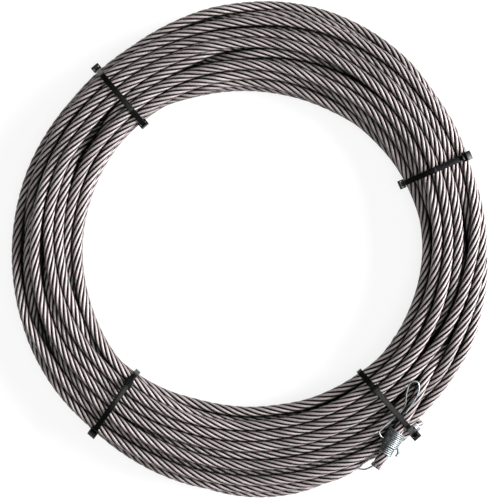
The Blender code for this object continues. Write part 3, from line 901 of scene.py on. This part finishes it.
def make_head(name, seat, frame_matrix):
    """A head: a block with a shallow window in its outer face and the slot that takes the strap."""
    bpy.ops.mesh.primitive_cube_add(size=1, scale=(head_length, head_height, head_width))
    head = settle(bpy.context.object)
    head.name = name
    edit(head)
    bpy.ops.mesh.select_all(action="DESELECT")
    shell = bmesh.from_edit_mesh(head.data)
    for face in shell.faces:
        face.select_set(face.normal.y > 0.9)
    bmesh.update_edit_mesh(head.data)
    bpy.ops.mesh.inset(thickness=1.1 * mm)
    bpy.ops.mesh.extrude_region_move(TRANSFORM_OT_translate={"value": (0, -0.7 * mm, 0)})
    bpy.ops.object.mode_set(mode="OBJECT")
    bpy.ops.mesh.primitive_cube_add(size=1, scale=(2 * head_length, strap_thickness + 2 * slot_margin,
                                                   strap_width + 2 * slot_margin))
    cutter = settle(bpy.context.object)
    pick(head)
    slot = head.modifiers.new("slot", "BOOLEAN")
    slot.operation, slot.object, slot.solver = "DIFFERENCE", cutter, "EXACT"
    bpy.ops.object.modifier_apply(modifier="slot")
    bpy.data.objects.remove(cutter)
    rims = head.modifiers.new("rims", "BEVEL")
    rims.width, rims.segments = 0.45 * mm, 3
    rims.limit_method, rims.angle_limit = "ANGLE", math.radians(40)
    bpy.ops.object.modifier_apply(modifier="rims")
    centre = seat.place(0.0, slot_out)
    turn = Matrix(((seat.along.x, seat.side.x, 0, centre.x), (seat.along.y, seat.side.y, 0, centre.y),
                   (0, 0, -1, 0), (0, 0, 0, 1)))
    return settle(head, frame_matrix @ turn)


def leaning(name, frame_matrix):
    """The move along the rope of a tie that isn't square to it: more of it farther out."""
    slope, shift = lean[name]
    shear = Matrix()
    shear[2][0], shear[2][3] = slope, shift - slope * ring_radius
    return frame_matrix @ shear @ frame_matrix.inverted()


def make_tie(name, hull, own, partner, frame_matrix, lean_matrix):
    strap = make_strap(name, strap_line(hull, own, partner), frame_matrix)
    tie = join([strap, make_head(name + "_head", own, frame_matrix)], name + "_dressed")
    tie.data.transform(lean_matrix)
    tie.data.materials.clear()
    tie.data.materials.append(tie_nylon)
    edit(tie)
    bpy.ops.mesh.select_all(action="SELECT")
    bpy.ops.mesh.normals_make_consistent(inside=False)
    bpy.ops.object.mode_set(mode="OBJECT")
    bpy.ops.object.shade_smooth_by_angle(angle=math.radians(35))
    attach(tie, "root")
    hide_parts(name)


# %% Bind the coil in four places
for name, degrees in binding_angle.items():
    hull = hull_at(name)
    outer = Seat(hull, faces=outer_head_faces[name])
    inner = (Seat(hull, radius=inner_head_radius[name]) if name in inner_head_radius
             else Seat(hull, faces=inner_head_faces[name]))
    frame_matrix = binding_frame(degrees)
    lean_matrix = leaning(name, frame_matrix)
    for own, partner, place in ((outer, inner, "outer"), (inner, outer, "inner")):
        make_tie(f"cable_tie_{name}_{place}", hull, own, partner, frame_matrix, lean_matrix)
    box = [(min(p[k] for p in hull) * 1000, max(p[k] for p in hull) * 1000) for k in (0, 1)]
    print(name, "binding: across and up, mm:", [[round(v, 1) for v in pair] for pair in box])

# %% [markdown]
# ## The seizings
# Before a rope is cut, soft wire is wound tightly round it so that the strands can't spring apart. The
# long end's winding goes up along the rope and back down over itself, so it is thicker at one end, and
# its two tails are twisted together.

# %% Galvanised wire
# Soft steel wire with a bright zinc coat: silvery, a little cloudy where the zinc has dulled
cloud_size = 3 * mm


def make_zinc_wire():
    material, tree, shader = new_material("galvanised soft steel wire", "#d5d9da", 1.0, 0.3)
    place = add_node(tree, "ShaderNodeTexCoord")
    cloud = add_node(tree, "ShaderNodeTexNoise", [(place.outputs["Object"], "Vector")],
                     Scale=1 / cloud_size, Detail=5.0)
    tint = add_node(tree, "ShaderNodeValToRGB", [(cloud.outputs["Fac"], "Fac")])
    tint.color_ramp.elements[0].position = 0.3
    tint.color_ramp.elements[0].color = linear("#6d7678")
    tint.color_ramp.elements[1].position = 0.6
    tint.color_ramp.elements[1].color = linear("#b9c0c1")
    tree.links.new(tint.outputs["Color"], shader.inputs["Base Color"])
    dull = add_node(tree, "ShaderNodeMapRange", [(cloud.outputs["Fac"], "Value")],
                    From_Min=0.3, From_Max=0.7, To_Min=0.5, To_Max=0.36)
    tree.links.new(dull.outputs["Result"], shader.inputs["Roughness"])
    return material


zinc_wire = make_zinc_wire()
print("Material:", zinc_wire.name)

# %% Wire routes
# The loop and the sprung tail: degrees past the lower right binding, metres out, metres up
wire_radius = wire_diameter / 2
loop_wire_route = [(-5.29, .02409, .0412), (-6.05, .02123, .0432), (-6.01, .01790, .0440),
                   (-5.28, .01571, .0441), (-2.40, .01507, .0432), (0.40, .01528, .0425),
                   (2.45, .01458, .0425), (3.93, .01304, .0432), (5.80, .00806, .0444),
                   (7.12, .00549, .0452), (8.66, .00371, .0458), (9.86, .00450, .0462),
                   (10.52, .00707, .0462), (10.12, .01027, .0462), (8.93, .01316, .0462),
                   (7.47, .01491, .0462), (5.27, .01640, .0460), (2.40, .01800, .0458)]
spring_wire_route = [(-6.36, .03269, .0334), (-7.92, .03537, .0328), (-9.94, .03872, .0322),
                     (-11.29, .04016, .0318), (-13.10, .04005, .0310), (-13.96, .03905, .0305),
                     (-15.00, .03644, .0300)]


def placed(route, scale=1.0):
    """A route's points in the coil's own place."""
    points = []
    for past, out, up in route:
        angle = math.radians(binding_angle["lower_right"] + past)
        reach = ring_radius + out * scale
        points.append((reach * math.cos(angle), reach * math.sin(angle), up * scale))
    return np.array(points)


def wire_tube(name, points, radius):
    """A round wire through the points, as a mesh."""
    curve = bpy.data.curves.new(name, "CURVE")
    curve.dimensions = "3D"
    curve.bevel_depth = radius
    curve.bevel_resolution = 2
    curve.use_fill_caps = True
    return curve_mesh(curve, points)


def winding(tip, inner, from_end, turns, radius_at):
    """Points of a close winding round the line from tip to inner, starting some way from the tip."""
    axis = (inner - tip) / np.linalg.norm(inner - tip)
    side = np.cross(axis, [0, 0, 1.0])
    side /= np.linalg.norm(side)
    up = np.cross(side, axis)
    t = np.linspace(0, 1, int(turns * 16) + 1)
    angle = (t * turns * math.tau)[:, None]
    reach = np.array([radius_at(value) for value in t])[:, None]
    start = tip + axis * (from_end + wire_radius)
    round_it = np.cos(angle) * side + np.sin(angle) * up
    return start + axis * (t * (turns - 1) * winding_pitch)[:, None] + reach * round_it


loop_steps = np.diff(placed(loop_wire_route), axis=0)
print("Wire in the free loop, mm:", round(float(np.linalg.norm(loop_steps, axis=1).sum() / mm)))

# %% Wind the long end's seizing
bind_radius = rope_radius + wire_radius + clearance
winding_start = 11.2 * mm
second_layer, bulge = 0.86 * wire_diameter, 0.5 * mm
long_points = placed(long_end_route, turn_spacing)
long_tip, long_inner = long_points[-1], long_points[-2]
under = winding(long_tip, long_inner, winding_start, 12.5, lambda t: bind_radius)
over = winding(long_tip, long_inner, winding_start + 4 * winding_pitch, 8.5,
               lambda t: bind_radius + second_layer + bulge * math.sin(math.pi * t))
parts = [wire_tube("under", under, wire_radius), wire_tube("over", over, wire_radius)]
print("Turns of the lower and the upper layer:", len(under) // 16, len(over) // 16)

# %% Twist its two tails, and add the free lengths
knot_from_end = 21
tail_bow, tail_length, tail_rise = 2.6 * mm, 6.5 * mm, 1.5 * mm
bow_angle, twists, twist_radius = 2.2, 3.2, 0.6 * mm
up = np.array([0, 0, 1.0])
axis = (long_inner - long_tip) / np.linalg.norm(long_inner - long_tip)
outward = np.cross(axis, up)
outward *= np.sign(outward @ long_tip) / np.linalg.norm(outward)
knot = long_tip + axis * knot_from_end * mm + outward * (bind_radius + 1.2 * wire_diameter)
t = np.linspace(0, 1, 40)[:, None]
bow = outward * (tail_bow * np.sin(t * bow_angle))
centre = knot + bow - axis * (tail_length * t) + up * tail_rise * t
for half_turn in (0, math.pi):
    swing = t * twists * math.tau + half_turn
    tail = centre + twist_radius * (np.cos(swing) * up + np.sin(swing) * outward)
    parts.append(wire_tube("tail", tail, wire_radius * 0.9))
for route in (loop_wire_route, spring_wire_route):
    parts.append(wire_tube("free_wire", catmull(placed(route), 6), wire_radius))
print("Pieces of wire on the long end:", len(parts))

# %% Wind the short end's seizing, and finish both
short_points = placed(short_end_route, turn_spacing)
short = winding(short_points[-1], short_points[-2], 4.2 * mm, 3, lambda t: bind_radius)
short_parts = [wire_tube("short", short, wire_radius)]
for name, wires in (("seizing_wire_long", parts), ("seizing_wire_short", short_parts)):
    seizing = join(wires, name + "_wound")
    seizing.data.materials.clear()
    seizing.data.materials.append(zinc_wire)
    seizing.data.shade_smooth()
    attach(seizing, "root")
    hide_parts(name)
    show(seizing)

# %% [markdown]
# ## The stage
# The photograph looks straight down at the coil on bare white. So the floor glows white, one large
# soft light comes in low from the right, and the camera hangs where the rope shows 10.5 pixels wide.

# %% Floor, light and camera
floor_size, floor_glow, world_glow = 40, 0.85, 0.08
sensor_width = 36
# Half of what the camera sees across at the photo's level: 250 pixels of 0.857 mm
half_view = 0.21425


def make_stage():
    material, tree, shader = new_material("white acrylic, lit from below", "#808080", 0.0, 0.9)
    shader.inputs["Emission Color"].default_value = (1, 1, 1, 1)
    shader.inputs["Emission Strength"].default_value = floor_glow
    bpy.ops.mesh.primitive_plane_add(size=floor_size, location=(0, 0, 0))
    floor = bpy.context.object
    floor.name = "floor"
    floor.data.materials.append(material)
    world = bpy.data.worlds.new("studio")
    bpy.context.scene.world = world
    world.use_nodes = True
    world.node_tree.nodes["Background"].inputs["Color"].default_value = (1, 1, 1, 1)
    world.node_tree.nodes["Background"].inputs["Strength"].default_value = world_glow


def area_light(name, place, size, power):
    """A square light that looks at the middle of the coil."""
    light = bpy.data.lights.new(name, "AREA")
    light.size = size
    light.energy = power
    obj = bpy.data.objects.new(name, light)
    obj.location = place
    obj.rotation_euler = (-Vector(place)).to_track_quat("-Z", "Y").to_euler()
    bpy.context.scene.collection.objects.link(obj)


def make_camera():
    camera = bpy.data.cameras.new("top view")
    camera.sensor_width = sensor_width
    camera.lens = sensor_width / 2 * (camera_height - photo_level) / half_view
    obj = bpy.data.objects.new("top view", camera)
    obj.location = (0, 0, camera_height)
    bpy.context.scene.collection.objects.link(obj)
    bpy.context.scene.camera = obj


make_stage()
area_light("key", place=(3.8, 0.3, 1.85), size=2.2, power=440)
area_light("overhead", place=(0.25, -0.2, 2.0), size=1.1, power=15)
make_camera()
bpy.context.scene.view_settings.view_transform = "Standard"
print("Camera's lens, mm:", round(bpy.context.scene.camera.data.lens, 1))
